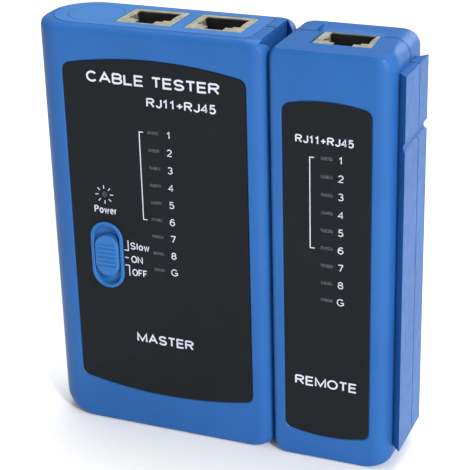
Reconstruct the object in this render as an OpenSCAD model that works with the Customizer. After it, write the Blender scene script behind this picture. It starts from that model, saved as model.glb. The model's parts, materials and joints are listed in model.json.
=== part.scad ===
// Network cable tester: a master unit with two ports and a remote unit that slides onto its side.
// Millimetres. Z is up, the labelled faces look along -Y, and the origin is at the middle of the
// base, level with the surface that both units stand on.

/* [Units] */
// Height of both units
unit_h = 120.5; // [118:0.5:130]
// Depth of both units, front face to back face
unit_d = 25; // [25:0.5:30]
// Depth of the front shells, front face to seam
seam_d = 14; // [13.5:0.5:15]
// Width of the master unit
master_w = 68.3; // [68.3:0.1:76]
// Width of the remote unit, without its rails
remote_w = 33.9; // [33.9:0.1:40]
// Wall thickness of the shells
wall = 2; // [1.6:0.1:2.2]

/* [Docking rails] */
// Free space between the two units when docked
dock_gap = 0.3; // [0.25:0.05:0.5]
// How far a rail stands out from the side of the remote
rail_depth = 2.5; // [2:0.1:2.6]
// Width of the free rail, on the right, at its outer face
rail_face_w = 20.4; // [18:0.2:20.4]
// Width of the free rail where it meets the body
rail_neck_w = 14.8; // [12:0.2:15]
// Width of the docking rail, on the left, at its outer face
dock_face_w = 19.6; // [18:0.2:19.8]
// Width of the docking rail where it meets the body
dock_neck_w = 14.4; // [12:0.2:14.6]
// Distance from each end of the unit to the end of a rail
rail_end = 6.2; // [5:0.1:12]

/* [Ports] */
// Width of a port's metal shield
port_w = 16.2; // [15.8:0.1:16.4]
// Depth of a port's metal shield, front to back
port_d = 13.2; // [13:0.1:13.4]
// Distance from the front face to a port
port_inset = 6.26; // [6.2:0.02:6.5]
// Width of the plug opening
plug_w = 12.1; // [11.8:0.1:12.2]
// Distance that the remote's port sits below its top
remote_port_drop = 1.35; // [0.5:0.05:2]

/* [Lamps] */
// Number of lamps in each column
lamp_count = 9; // [2:1:9]
// Distance from one lamp to the next
lamp_pitch = 5.08; // [4.5:0.02:5.1]
// Width of a lamp's lens
lamp_w = 3.4; // [2.5:0.1:3.6]
// Height of a lamp's lens
lamp_h = 1; // [0.8:0.1:1.4]

/* [Switch] */
// Travel of the switch knob to each side of its middle position
switch_travel = 2.4; // [1.5:0.1:2.5]
// How far the knob stands out from the front face
knob_proud = 1.2; // [0.8:0.1:1.6]

/* [Hidden] */
$fn = 64;
eps = 0.01;
over = 1;

// Colours
body_blue = [0.18, 0.43, 0.72];
plate_blue = [0.22, 0.48, 0.76];
label_black = [0.13, 0.15, 0.16];
tin = [0.78, 0.80, 0.70];
gold = [0.83, 0.68, 0.30];
board_green = [0.05, 0.33, 0.20];
dark = [0.10, 0.10, 0.11];
steel = [0.70, 0.71, 0.73];
lamp_grey = [0.32, 0.34, 0.36];
tan_body = [0.82, 0.72, 0.52];

// Where the units stand. The knob stands out in front, and one rail stands out on the right.
overall_w = master_w + dock_gap + remote_w + rail_depth;
front_y = (knob_proud - unit_d) / 2;
back_y = front_y + unit_d;
seam_y = front_y + seam_d;
master_x0 = -overall_w / 2;
master_x1 = master_x0 + master_w;
remote_x0 = master_x1 + dock_gap;
remote_x1 = remote_x0 + remote_w;

// Edge radii, in the order that rounded_rect() takes them
master_plan_r = [8, 4.5, 2, 11.5];
master_front_r = [6, 4, 3.6, 1.5];
remote_plan_r = [1.6, 5, 2, 2];
remote_front_r = [4, 4, 4.5, 4.5];
side_r = [1, 2, 2, 2];
inner_r_min = 0.6;

// Docking dovetail
rail_mid = front_y + 12;
free_rail_mid = front_y + 11.9;
rail_play = 0.25;
rail_flare = (dock_face_w - dock_neck_w) / 2;
groove_depth = rail_depth;
groove_floor_x = master_x1 - groove_depth;
rail_slope = rail_flare / rail_depth;
groove_side = rail_play * sqrt(1 + rail_slope * rail_slope) + dock_gap * rail_slope;
detent_z = 95.4;
detent_depth = 0.7;
detent_h = 2.6;

// Top plate
plate_t = 1.6;
plate_x0 = master_x0 + 2.8;
plate_x1 = master_x1 - 5.4;
plate_y0 = front_y + 2.35;
plate_y1 = front_y + 22.5;
plate_r = [8.9, 3, 3, 8.9];
plate_play = 0.12;
ledge_w = 1.5;
ledge_t = 1.2;
disc_x = master_x0 + 14.1;
disc_y = front_y + 12.3;
disc_r = 7.8;
disc_t = 0.9;
disc_seat_r = 6.9;

// Ports
port_y = front_y + port_inset;
port_h = 15;
port_play = 0.25;
port_1_x = master_x0 + 30.8;
port_2_x = master_x0 + 50.9;
remote_port_x = remote_x0 + 17.55;
remote_port_z = unit_h - remote_port_drop;
port_lap = 1.5;
top_fall = 1.4;
recess_rim = 1.4;
recess_run = 3.2;
shield_t = 0.3;
face_t = 0.4;
cavity_deep = 11.6;
plug_y0 = 4.3;
plug_y1 = 11.6;
step_w = 8.6;
step_y = 3.1;
latch_w = 5.2;
latch_y = 0.6;
contact_count = 8;
contact_pitch = 1.02;
contact_t = 0.35;
spring_y0 = 6.2;
spring_y1 = 9.4;
spring_bend = 2.6;
spring_l = 5.4;

// Boards
board_front = front_y + 4.6;
board_t = 1.6;
board_back = board_front + board_t;
board_x0 = master_x0 + 4;
board_x1 = master_x0 + 63.4;
board_z0 = 43.2;
board_z1 = 117;
remote_board_x0 = remote_x0 + 3;
remote_board_x1 = remote_x1 - 2.8;
remote_board_z0 = 34;
remote_board_z1 = 115.6;

// Labels
label_recess = 0.6;
label_t = 0.42;
label_play = 0.1;
master_label_x0 = master_x0 + 8.9;
master_label_x1 = master_x0 + 62.4;
master_label_z = [11.4, 112.3];
master_label_sag = 2.9;
remote_label_x0 = remote_x0 + 3.7;
remote_label_x1 = remote_x0 + 28.1;
remote_label_z = [7.6, 106.15];
remote_label_sag = 1.6;
label_corner = 2.4;

// Lamps
master_lamp_x = master_x0 + 35.2;
remote_lamp_x = remote_x0 + 15.95;
lamp_top_z = 92.1;
remote_lamp_top_z = lamp_top_z - remote_port_drop;
window_play = 0.1;
slot_play = 0.35;
lamp_front = front_y + 0.3;
lamp_base = [4.6, 1.3, 2.4];
power_x = master_x0 + 19.4;
power_z = 72.3;
power_r = 1.15;

// Switch
switch_x = master_x0 + 19.4;
switch_z = 54;
bezel_w = 9.9;
bezel_h = 20.1;
bezel_hole_w = 8;
bezel_hole_h = 18.2;
bezel_proud = 0.45;
bezel_deep = 2.2;
bezel_floor_t = 0.6;
knob_w = 7.3;
knob_h = 12.4;
knob_back = front_y + 1.1;
ridge_count = 6;
ridge_pitch = 1.3;
ridge_d = 0.5;
ridge_w = 0.7;
stem_w = 3;
stem_h = 4;
frame_w = 7.4;
frame_h = 19;
frame_d = 5.2;
frame_t = 0.35;
slider_w = 5.4;
slider_h = 8;

// Battery compartment and door
battery_l = 48.5;
battery_h = 26.5;
battery_d = 17.5;
battery_x0 = master_x0 + 14;
battery_z0 = 6.2;
battery_y0 = front_y + 4.4;
tray_t = 1.2;
tray_side_t = 0.45;
tray_x0 = master_x0 + 6;
tray_x1 = master_x0 + 63.3;
tray_z0 = 5;
tray_z1 = 34;
tray_front = front_y + 3.1;
door_play = 0.3;
door_x0 = master_x0 + 12;
door_x1 = tray_x1;
door_t = wall;
door_tab_w = 8;
door_tab_t = 1.2;
door_tab_drop = 1.2;
pad_t = 0.9;
terminal_gap = 12.7;
terminal_l = 2.8;
snap_back = 1.4;
lead_r = 0.55;
lead_out = 1.2;
lead_drop = 6.7;
lead_clear = 0.65;
lead_x = master_x0 + 26;
lead_y = front_y + 14.35;
lead_z = 45.2;
lead_gap_x = 2.6;
lead_gap_y = 1.75;
notch_x = battery_x0 - 0.4;
notch_w = 1.8;
notch_y0 = front_y + 13.2;
notch_y1 = front_y + 17.4;
door_rib_pitch = 1.6;
door_rib_w = 0.8;
door_rib_l = 8;
door_rib_count = 4;
door_slit = 0.8;
door_tongue_w = 12;
door_tongue_h = 9;

// Fasteners
case_screw_r = 1.35;
case_screw_l = 15;
case_head_r = 2.7;
case_head_t = 1.9;
sink_r = 2.95;
sink_deep = 2.4;
boss_r = 3;
rear_boss_r = 4;
pilot_r = 1.45;
clear_r = 1.75;
master_bosses = [[master_x0 + 8.6, 39], [master_x0 + 59.4, 39],
    [master_x0 + 8.6, 100], [master_x0 + 59.4, 100]];
remote_bosses = [[remote_x0 + 7.8, 24], [remote_x0 + 26.8, 24]];
post_r = 2.2;
board_screw_r = 0.85;
board_screw_l = 3.6;
board_head_r = 1.8;
board_head_t = 1.1;
master_posts = [[master_x0 + 22, 92], [master_x0 + 56, 84], [master_x0 + 8, 66], [master_x0 + 56, 50]];
remote_posts = [[remote_x0 + 8.8, 40], [remote_x0 + 25.8, 40], [remote_x0 + 25.8, 78]];

// Parts on the boards
chip_w = 4;
chip_lift = 0.2;
chip_h = 1.5;
chip_end = 0.5;
leg_pitch = 1.27;
leg_l = 1;
leg_w = 0.4;
leg_h = 0.9;
axial_r = 0.9;
axial_l = 4.2;
axial_pitch = 2.6;
axial_lift = 0.2;
wire_w = 0.5;
wire_reach = 1.6;
counter_at = [master_x0 + 44, 84];
timer_at = [master_x0 + 34, 62];
capacitor_at = [master_x0 + 48, 62];
capacitor_r = 3;
capacitor_h = 9;
master_axial_at = [master_x0 + 20, 73.6];
remote_diode_at = [remote_x0 + 7.8, 92];
remote_axial_at = [remote_x0 + 9.8, 60];

// ---- Shared shapes ----

// The waste outside one rounded corner of radius r, for the corner at the origin
module corner_waste(r) {
    difference() {
        translate([-over, -over]) square(r + over);
        translate([r, r]) circle(r);
    }
}

// Rectangle with its own radius at each corner: low-low, high-low, high-high, low-high
module rounded_rect(lo, hi, r) {
    difference() {
        translate(lo) square(hi - lo);
        translate([lo[0], lo[1]]) corner_waste(r[0]);
        translate([hi[0], lo[1]]) mirror([1, 0]) corner_waste(r[1]);
        translate([hi[0], hi[1]]) rotate(180) corner_waste(r[2]);
        translate([lo[0], hi[1]]) mirror([0, 1]) corner_waste(r[3]);
    }
}

// Extrudes a front-view outline (X, Z) from y0 to y1
module front_extrude(y0, y1) {
    translate([0, y1, 0]) rotate([90, 0, 0]) linear_extrude(y1 - y0) children();
}

// Extrudes a side-view outline (Y, Z) from x0 to x1
module side_extrude(x0, x1) {
    translate([x0, 0, 0]) rotate([90, 0, 90]) linear_extrude(x1 - x0) children();
}

// A cylinder along Y, from y0 to y1
module y_rod(x, z, r, y0, y1) {
    translate([x, y1, z]) rotate([90, 0, 0]) cylinder(h = y1 - y0, r = r);
}

// A block given by its low and high corners
module block(lo, hi) {
    translate(lo) cube(hi - lo);
}

function inset_radii(r, t) = [for (v = r) max(v - t, inner_r_min)];

// A case body with rounded edges in plan, front view and side view, shrunk by t on every side
module case_body(x0, x1, plan_r, front_r, t) {
    lo = [x0 + t, front_y + t];
    hi = [x1 - t, back_y - t];
    intersection() {
        translate([0, 0, t]) linear_extrude(unit_h - 2 * t) rounded_rect(lo, hi, inset_radii(plan_r, t));
        front_extrude(front_y - over, back_y + over)
            rounded_rect([x0 + t, t], [x1 - t, unit_h - t], inset_radii(front_r, t));
        side_extrude(x0 - over, x1 + over)
            rounded_rect([front_y + t, t], [back_y - t, unit_h - t], inset_radii(side_r, t));
    }
}

module front_half() {
    block([-overall_w, front_y - 5, -over], [overall_w, seam_y, unit_h + over]);
}

module rear_half() {
    block([-overall_w, seam_y, -over], [overall_w, back_y + 5, unit_h + over]);
}

// Rounded slot outline, upright
module obround(w, h) {
    translate([-w / 2, -(h - w) / 2]) square([w, h - w]);
    for (side = [-1, 1]) translate([0, side * (h - w) / 2]) circle(w / 2);
}

// Label outline: straight sides, bowed ends and small corner radii
module label_outline(x0, x1, z, sag, shrink) {
    half = (x1 - x0) / 2;
    bow_r = (half * half + sag * sag) / (2 * sag);
    mid = (z[0] + z[1]) / 2;
    offset(r = label_corner - shrink, $fn = 32) offset(delta = -label_corner, $fn = 32) {
        intersection() {
            translate([x0, mid - eps]) square([x1 - x0, z[1] - mid + eps]);
            translate([x0 + half, z[1] - bow_r]) circle(bow_r, $fn = 360);
        }
        intersection() {
            translate([x0, z[0]]) square([x1 - x0, mid - z[0]]);
            translate([x0 + half, z[0] + bow_r]) circle(bow_r, $fn = 360);
        }
    }
}

module lamp_slots(x, top_z, play, y0, y1) {
    for (i = [0 : lamp_count - 1])
        block([x - lamp_w / 2 - play, y0, top_z - i * lamp_pitch - lamp_h / 2 - play],
            [x + lamp_w / 2 + play, y1, top_z - i * lamp_pitch + lamp_h / 2 + play]);
}

// Dovetail outline in plan, pointing to +X from the side of a body, with depth measured outward
module dovetail(neck_w, face_w, depth) {
    polygon([[-eps, -neck_w / 2], [depth, -face_w / 2], [depth, face_w / 2], [-eps, neck_w / 2]]);
}

// The V notch across a rail's outer face, for a face at x = 0 that looks along +X
module detent_notch() {
    slope = detent_h / 2 / detent_depth;
    front_extrude(front_y - over, back_y + over)
        translate([0, detent_z])
            polygon([[-detent_depth, 0], [over, -slope * (detent_depth + over)],
                [over, slope * (detent_depth + over)]]);
}

// A rail on the right side of the remote, with its detent notch
module rail(neck_w, face_w, mid) {
    difference() {
        translate([remote_x1, mid, rail_end])
            linear_extrude(unit_h - 2 * rail_end) dovetail(neck_w, face_w, rail_depth);
        translate([remote_x1 + rail_depth, 0, 0]) detent_notch();
    }
}

module right_rail() {
    rail(rail_neck_w, rail_face_w, free_rail_mid);
}

module left_rail() {
    translate([remote_x0 + remote_x1, 0, 0]) mirror([1, 0, 0]) rail(dock_neck_w, dock_face_w, rail_mid);
}

// The dovetail groove in the right side of the master, open at the top
module groove() {
    mouth = dock_neck_w + 2 * groove_side;
    floor_w = dock_face_w + 2 * groove_side;
    translate([master_x1, rail_mid, rail_end - dock_gap])
        linear_extrude(unit_h) union() {
            mirror([1, 0]) dovetail(mouth, floor_w, groove_depth);
            translate([-eps, -mouth / 2]) square([over, mouth]);
        }
}

// Plug opening of a port, in its own frame: X across, Y from the shield's front, extra all round
module plug_outline(extra) {
    for (part = [[plug_w, plug_y0, plug_y1 + extra], [step_w, step_y, plug_y0], [latch_w, latch_y, step_y]])
        translate([-part[0] / 2 - extra, part[1] - extra])
            square([part[0] + 2 * extra, part[2] - part[1] + extra + eps]);
}

// The sheet-metal shield: four sides and a face with the plug opening
module port_shield(x, top) {
    translate([x, port_y, top - port_h]) color(tin) difference() {
        translate([-port_w / 2, 0, 0]) cube([port_w, port_d, port_h]);
        translate([-port_w / 2 + shield_t, shield_t, -over])
            cube([port_w - 2 * shield_t, port_d - 2 * shield_t, port_h - face_t + over]);
        translate([0, 0, port_h - face_t - over]) linear_extrude(face_t + 2 * over) plug_outline(0.05);
    }
    // Two side springs, folded inward to grip a plug's shield
    for (side = [0, 1])
        translate([x, port_y, top]) mirror([side, 0, 0]) color(tin) front_extrude(spring_y0, spring_y1)
            translate([-plug_w / 2, 0])
                polygon([[-0.05, 0], [-0.05, -face_t], [0.03, -face_t], [0.32, -spring_bend], [0.03, -spring_l],
                    [0.17, -spring_l], [0.52, -spring_bend], [0.12, 0]]);
}

module port_housing(x, top) {
    gap = shield_t + 0.05;
    high = port_h - face_t;
    translate([x, port_y, top - port_h]) color(dark) difference() {
        translate([-port_w / 2 + gap, gap, 0]) cube([port_w - 2 * gap, port_d - 2 * gap, high]);
        translate([0, 0, high - cavity_deep]) linear_extrude(cavity_deep + over) plug_outline(0);
    }
}

// Eight spring contacts that slope into the plug cavity from its rear wall
module port_contacts(x, top) {
    for (i = [0 : contact_count - 1])
        translate([x + (i - (contact_count - 1) / 2) * contact_pitch, port_y, top])
            color(gold) side_extrude(-contact_t / 2, contact_t / 2)
                polygon([[plug_y1, -3.4], [plug_y1, -4], [8.8, -9], [9.1, -9.8], [8.6, -9.8], [8.2, -8.9],
                    [plug_y1 - 0.5, -3.4]]);
}

// Case screws, with a crossed recess in each head
module case_screw(x, z, head_y) {
    color(steel) difference() {
        union() {
            y_rod(x, z, case_head_r, head_y - case_head_t, head_y);
            y_rod(x, z, case_screw_r, head_y - case_head_t - case_screw_l, head_y - case_head_t + eps);
        }
        for (a = [0, 90])
            translate([x, head_y, z]) rotate([0, a, 0]) cube([3, 1.6, 0.6], center = true);
    }
}

// Small screw that holds a board against a post, its head on the back of the board
module board_screw(x, z) {
    color(steel) difference() {
        union() {
            y_rod(x, z, board_head_r, board_back, board_back + board_head_t);
            y_rod(x, z, board_screw_r, board_back - board_screw_l, board_back + eps);
        }
        for (a = [0, 90])
            translate([x, board_back + board_head_t, z]) rotate([0, a, 0]) cube([2.2, 1, 0.4], center = true);
    }
}

module front_bosses(places) {
    for (p = places) y_rod(p[0], p[1], boss_r, front_y + wall - eps, seam_y);
}

module rear_bosses(places) {
    for (p = places) y_rod(p[0], p[1], rear_boss_r, seam_y, back_y - wall + eps);
}

module boss_pilots(places) {
    for (p = places) y_rod(p[0], p[1], pilot_r, front_y + wall + 0.6, seam_y + over);
}

module screw_sinks(places) {
    for (p = places) {
        y_rod(p[0], p[1], clear_r, seam_y - over, back_y + over);
        y_rod(p[0], p[1], sink_r, back_y - sink_deep, back_y + over);
    }
}

module board_posts(places) {
    for (p = places) difference() {
        y_rod(p[0], p[1], post_r, front_y + wall - eps, board_front);
        y_rod(p[0], p[1], board_screw_r + 0.1, front_y + wall, board_front + over);
    }
}

// Lamp column: a lens that reaches the label's window, on a base that sits on the board
module lamp_column(x, top_z) {
    color(lamp_grey) for (i = [0 : lamp_count - 1]) {
        z = top_z - i * lamp_pitch;
        block([x - lamp_w / 2, lamp_front, z - lamp_h / 2],
            [x + lamp_w / 2, board_front - 1, z + lamp_h / 2]);
        block([x - lamp_base[0] / 2, board_front - lamp_base[1], z - lamp_base[2] / 2],
            [x + lamp_base[0] / 2, board_front, z + lamp_base[2] / 2]);
    }
}

// A row of round parts that lie along Z on the back of a board, such as resistors or diodes
module axial_parts(at, count, body_colour) {
    y = board_back + axial_r + axial_lift;
    wire = wire_w / 2;
    reach = axial_l / 2 + wire_reach;
    for (i = [0 : count - 1]) {
        x = at[0] + i * axial_pitch;
        color(body_colour) translate([x, y, at[1] - axial_l / 2]) cylinder(h = axial_l, r = axial_r);
        color(steel) for (side = [-1, 1]) {
            low = min(side * axial_l / 2, side * reach);
            foot_z = at[1] + side * (reach - wire);
            block([x - wire, y - wire, at[1] + low], [x + wire, y + wire, at[1] + low + wire_reach]);
            block([x - wire, board_back, foot_z - wire], [x + wire, y - wire, foot_z + wire]);
        }
    }
}

// A chip with two rows of legs, flat on the back of the board
module chip(at, pairs) {
    half_h = pairs * leg_pitch / 2 + chip_end;
    color(dark) block([at[0] - chip_w / 2, board_back + chip_lift, at[1] - half_h],
        [at[0] + chip_w / 2, board_back + chip_lift + chip_h, at[1] + half_h]);
    for (i = [0 : pairs - 1]) for (side = [-1, 1]) {
        leg_x = at[0] + side * (chip_w + leg_l) / 2;
        leg_z = at[1] + (i - (pairs - 1) / 2) * leg_pitch;
        color(steel) block([leg_x - leg_l / 2, board_back, leg_z - leg_w / 2],
            [leg_x + leg_l / 2, board_back + leg_h, leg_z + leg_w / 2]);
    }
}

// An insulated lead through a list of points, as straight runs with ball corners
module lead(points) {
    for (i = [0 : len(points) - 2]) {
        run = points[i + 1] - points[i];
        length = norm(run);
        translate(points[i]) rotate([0, acos(run[2] / length), atan2(run[1], run[0])])
            cylinder(h = length, r = lead_r, $fn = 24);
    }
    for (i = [1 : len(points) - 2]) translate(points[i]) sphere(lead_r * 1.04, $fn = 24);
}

// ---- Master unit ----

module plate_pocket() {
    translate([0, 0, unit_h - plate_t]) linear_extrude(plate_t + over)
        rounded_rect([plate_x0 - plate_play, plate_y0 - plate_play],
            [plate_x1 + plate_play, plate_y1 + plate_play], plate_r);
    translate([0, 0, unit_h - plate_t - 4]) linear_extrude(4 + over)
        rounded_rect([plate_x0 + ledge_w, plate_y0 + ledge_w],
            [plate_x1 - ledge_w, plate_y1 - ledge_w], inset_radii(plate_r, ledge_w));
}

// Hollow of the master, which stops short of the docking groove
module master_hollow() {
    intersection() {
        case_body(master_x0, groove_floor_x + wall, master_plan_r, master_front_r, wall);
        block([master_x0, front_y, 0], [groove_floor_x - wall + eps, back_y, unit_h - plate_t - ledge_t]);
    }
}

module master_front_shell() {
    color(body_blue) difference() {
        union() {
            difference() {
                intersection() {
                    case_body(master_x0, master_x1, master_plan_r, master_front_r, 0);
                    front_half();
                }
                master_hollow();
            }
            front_bosses(master_bosses);
            board_posts(master_posts);
        }
        boss_pilots(master_bosses);
        plate_pocket();
        groove();
        front_extrude(front_y - over, front_y + label_recess)
            label_outline(master_label_x0, master_label_x1, master_label_z, master_label_sag, 0);
        lamp_slots(master_lamp_x, lamp_top_z, slot_play, front_y, front_y + wall + over);
        y_rod(power_x, power_z, power_r + slot_play, front_y, front_y + wall + over);
        front_extrude(front_y, front_y + wall + over)
            translate([switch_x, switch_z]) obround(bezel_w - 0.8, bezel_h - 0.8);
    }
}

// Battery tray walls that stand on the inside of the rear shell
module tray_walls() {
    difference() {
        block([tray_x0 - tray_t, tray_front, tray_z0 - tray_t],
            [tray_x1 + tray_side_t, back_y - wall + eps, tray_z1 + tray_t]);
        block([tray_x0, tray_front + tray_t, tray_z0], [tray_x1, back_y, tray_z1]);
        block([notch_x - notch_w / 2, notch_y0, tray_z1 - over],
            [notch_x + notch_w / 2, notch_y1, tray_z1 + 3]);
    }
}

module door_tab_places() {
    for (x = [door_x0 + 10, door_x1 - 10]) translate([x, 0, 0]) children();
}

module master_rear_shell() {
    color(body_blue) difference() {
        union() {
            difference() {
                intersection() {
                    case_body(master_x0, master_x1, master_plan_r, master_front_r, 0);
                    rear_half();
                }
                master_hollow();
            }
            intersection() {
                tray_walls();
                case_body(master_x0, groove_floor_x + wall, master_plan_r, master_front_r, 1);
            }
            rear_bosses(master_bosses);
        }
        screw_sinks(master_bosses);
        plate_pocket();
        groove();
        block([door_x0, back_y - wall - over, tray_z0], [door_x1, back_y + over, tray_z1]);
        door_tab_places()
            block([-door_tab_w / 2 - 0.4, back_y - wall - door_tab_t - 2, tray_z0 - tray_t - over],
                [door_tab_w / 2 + 0.4, back_y - wall, tray_z0 + over]);
    }
}

module master_top_plate() {
    color(plate_blue) difference() {
        translate([0, 0, unit_h - plate_t]) linear_extrude(plate_t)
            rounded_rect([plate_x0, plate_y0], [plate_x1, plate_y1], plate_r);
        for (x = [port_1_x, port_2_x])
            block([x - port_w / 2 - port_play, port_y - port_play, unit_h - plate_t - over],
                [x + port_w / 2 + port_play, port_y + port_d + port_play, unit_h + over]);
        translate([disc_x, disc_y, unit_h - disc_t]) cylinder(h = disc_t + over, r = disc_r);
        translate([disc_x, disc_y, unit_h - plate_t - over]) cylinder(h = plate_t, r = disc_seat_r);
    }
}

module blanking_disc() {
    color(plate_blue) translate([disc_x, disc_y, unit_h - disc_t])
        cylinder(h = disc_t, r = disc_r - plate_play);
}

module master_label() {
    color(label_black) difference() {
        front_extrude(front_y + label_recess - label_t, front_y + label_recess)
            label_outline(master_label_x0, master_label_x1, master_label_z, master_label_sag, label_play);
        lamp_slots(master_lamp_x, lamp_top_z, window_play, front_y - over, front_y + label_recess + over);
        y_rod(power_x, power_z, power_r + window_play, front_y - over, front_y + label_recess + over);
        front_extrude(front_y - over, front_y + label_recess + over)
            translate([switch_x, switch_z]) obround(bezel_w - 0.6, bezel_h - 0.6);
    }
}

module master_board() {
    color(board_green) difference() {
        block([board_x0, board_front, board_z0], [board_x1, board_back, board_z1]);
        for (p = master_bosses) y_rod(p[0], p[1], boss_r + 0.4, board_front - over, board_back + over);
        for (p = master_posts) y_rod(p[0], p[1], board_screw_r + 0.15, board_front - over, board_back + over);
        front_extrude(board_front - over, board_back + over)
            translate([switch_x, switch_z]) obround(stem_w + 1.4, stem_h + 2 * switch_travel + 3);
    }
}

module master_lamps() {
    lamp_column(master_lamp_x, lamp_top_z);
}

module power_lamp() {
    color([0.55, 0.62, 0.66]) {
        y_rod(power_x, power_z, power_r, lamp_front + 0.6, board_front);
        translate([power_x, lamp_front + 0.6, power_z]) rotate([90, 0, 0]) rotate_extrude()
            intersection() {
                circle(power_r);
                square([power_r, power_r * 0.6]);
            }
        y_rod(power_x, power_z, power_r + 0.4, board_front - 1, board_front);
    }
}

module switch_bezel() {
    color(body_blue) difference() {
        union() {
            front_extrude(front_y - bezel_proud, front_y + label_recess - label_t)
                translate([switch_x, switch_z]) obround(bezel_w, bezel_h);
            front_extrude(front_y - bezel_proud, front_y + bezel_deep)
                translate([switch_x, switch_z]) obround(bezel_w - 1, bezel_h - 1);
        }
        front_extrude(front_y - over, front_y + bezel_deep - bezel_floor_t)
            translate([switch_x, switch_z]) obround(bezel_hole_w, bezel_hole_h);
        front_extrude(front_y - over, front_y + bezel_deep + over)
            translate([switch_x, switch_z]) obround(stem_w + 0.6, stem_h + 2 * switch_travel + 3);
    }
}

// Knob with a crowned front and a row of raised ridges between two end lands
module switch_knob() {
    low = front_y - knob_proud + ridge_d;
    color(body_blue) {
        front_extrude(low, knob_back) translate([switch_x, switch_z]) obround(knob_w, knob_h);
        intersection() {
            front_extrude(front_y - knob_proud, low + eps)
                translate([switch_x, switch_z]) obround(knob_w, knob_h);
            for (i = [0 : ridge_count - 1]) {
                z = switch_z + (i - (ridge_count - 1) / 2) * ridge_pitch;
                block([switch_x - knob_w, front_y - knob_proud, z - ridge_w / 2],
                    [switch_x + knob_w, low + eps, z + ridge_w / 2]);
            }
        }
        block([switch_x - stem_w / 2, knob_back - eps, switch_z - stem_h / 2],
            [switch_x + stem_w / 2, board_back + 0.6, switch_z + stem_h / 2]);
    }
}

module switch_slider() {
    color([0.9, 0.9, 0.88])
        block([switch_x - slider_w / 2, board_back + 0.6, switch_z - slider_h / 2],
            [switch_x + slider_w / 2, board_back + 2.4, switch_z + slider_h / 2]);
}

// Folded steel cover of the switch, with a slot for the stem
module switch_frame() {
    color(steel) difference() {
        block([switch_x - frame_w / 2, board_back, switch_z - frame_h / 2],
            [switch_x + frame_w / 2, board_back + frame_d, switch_z + frame_h / 2]);
        block([switch_x - frame_w / 2 + frame_t, board_back + frame_t, switch_z - frame_h / 2 + frame_t],
            [switch_x + frame_w / 2 - frame_t, board_back + frame_d + over,
                switch_z + frame_h / 2 - frame_t]);
        front_extrude(board_back - over, board_back + frame_t + over)
            translate([switch_x, switch_z]) obround(stem_w + 0.8, stem_h + 2 * switch_travel + 3);
    }
}

module switch_base() {
    inset = frame_t + 0.1;
    color(dark) block([switch_x - frame_w / 2 + inset, board_back + 3, switch_z - frame_h / 2 + inset],
        [switch_x + frame_w / 2 - inset, board_back + frame_d, switch_z + frame_h / 2 - inset]);
}

module switch_terminals() {
    for (i = [-1.5 : 1 : 1.5]) for (side = [-1, 1])
        color(gold) block([switch_x + side * 1.8 - 0.4, board_back + frame_d, switch_z + i * 3.6 - 0.3],
            [switch_x + side * 1.8 + 0.4, board_back + frame_d + 2.2, switch_z + i * 3.6 + 0.3]);
}

module port_1_shield() { port_shield(port_1_x, unit_h); }
module port_1_housing() { port_housing(port_1_x, unit_h); }
module port_1_contacts() { port_contacts(port_1_x, unit_h); }
module port_2_shield() { port_shield(port_2_x, unit_h); }
module port_2_housing() { port_housing(port_2_x, unit_h); }
module port_2_contacts() { port_contacts(port_2_x, unit_h); }

module counter_chip() { chip(counter_at, 8); }
module timer_chip() { chip(timer_at, 4); }

module master_resistors() { axial_parts(master_axial_at, 9, tan_body); }

module capacitor() {
    top_y = board_back + capacitor_h;
    color([0.12, 0.16, 0.35]) y_rod(capacitor_at[0], capacitor_at[1], capacitor_r, board_back, top_y);
    color(steel) y_rod(capacitor_at[0], capacitor_at[1], capacitor_r - 0.4, top_y, top_y + 0.2);
}

module battery() {
    color([0.20, 0.20, 0.22])
        translate([battery_x0, 0, 0]) side_extrude(0, battery_l)
            rounded_rect([battery_y0, battery_z0], [battery_y0 + battery_d, battery_z0 + battery_h],
                [1.8, 1.8, 1.8, 1.8]);
}

module terminal_places() {
    mid_z = battery_z0 + battery_h / 2;
    for (side = [-1, 1])
        translate([battery_x0, battery_y0 + battery_d / 2, mid_z + side * terminal_gap / 2])
            rotate([0, -90, 0]) children();
}

module battery_terminals() {
    color(steel) terminal_places() cylinder(h = terminal_l, r = 2.9);
}

module battery_snap() {
    color(dark) difference() {
        block([battery_x0 - terminal_l - snap_back, battery_y0 + 2.5, battery_z0 + 1],
            [battery_x0 - 0.4, battery_y0 + battery_d - 2.5, battery_z0 + battery_h - 1]);
        terminal_places() translate([0, 0, -over]) cylinder(h = terminal_l + over + 0.1, r = 3.1);
    }
}

// Each lead leaves the snap, climbs past the battery's end and through the tray's notch, crosses
// below the switch and drops square onto the board.
module battery_lead(y, board_x) {
    snap_x = battery_x0 - terminal_l - snap_back;
    low_z = battery_z0 + battery_h - lead_drop;
    top_z = battery_z0 + battery_h + lead_clear;
    lead([[snap_x, y, low_z], [snap_x - lead_out, y, low_z], [snap_x - lead_out, y, top_z],
        [notch_x, y, top_z], [notch_x, y, lead_z], [board_x, y, lead_z], [board_x, board_back, lead_z]]);
}

module lead_red() {
    color([0.75, 0.1, 0.1]) battery_lead(lead_y, lead_x);
}

module lead_black() {
    color(dark) battery_lead(lead_y + lead_gap_y, lead_x + lead_gap_x);
}

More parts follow.
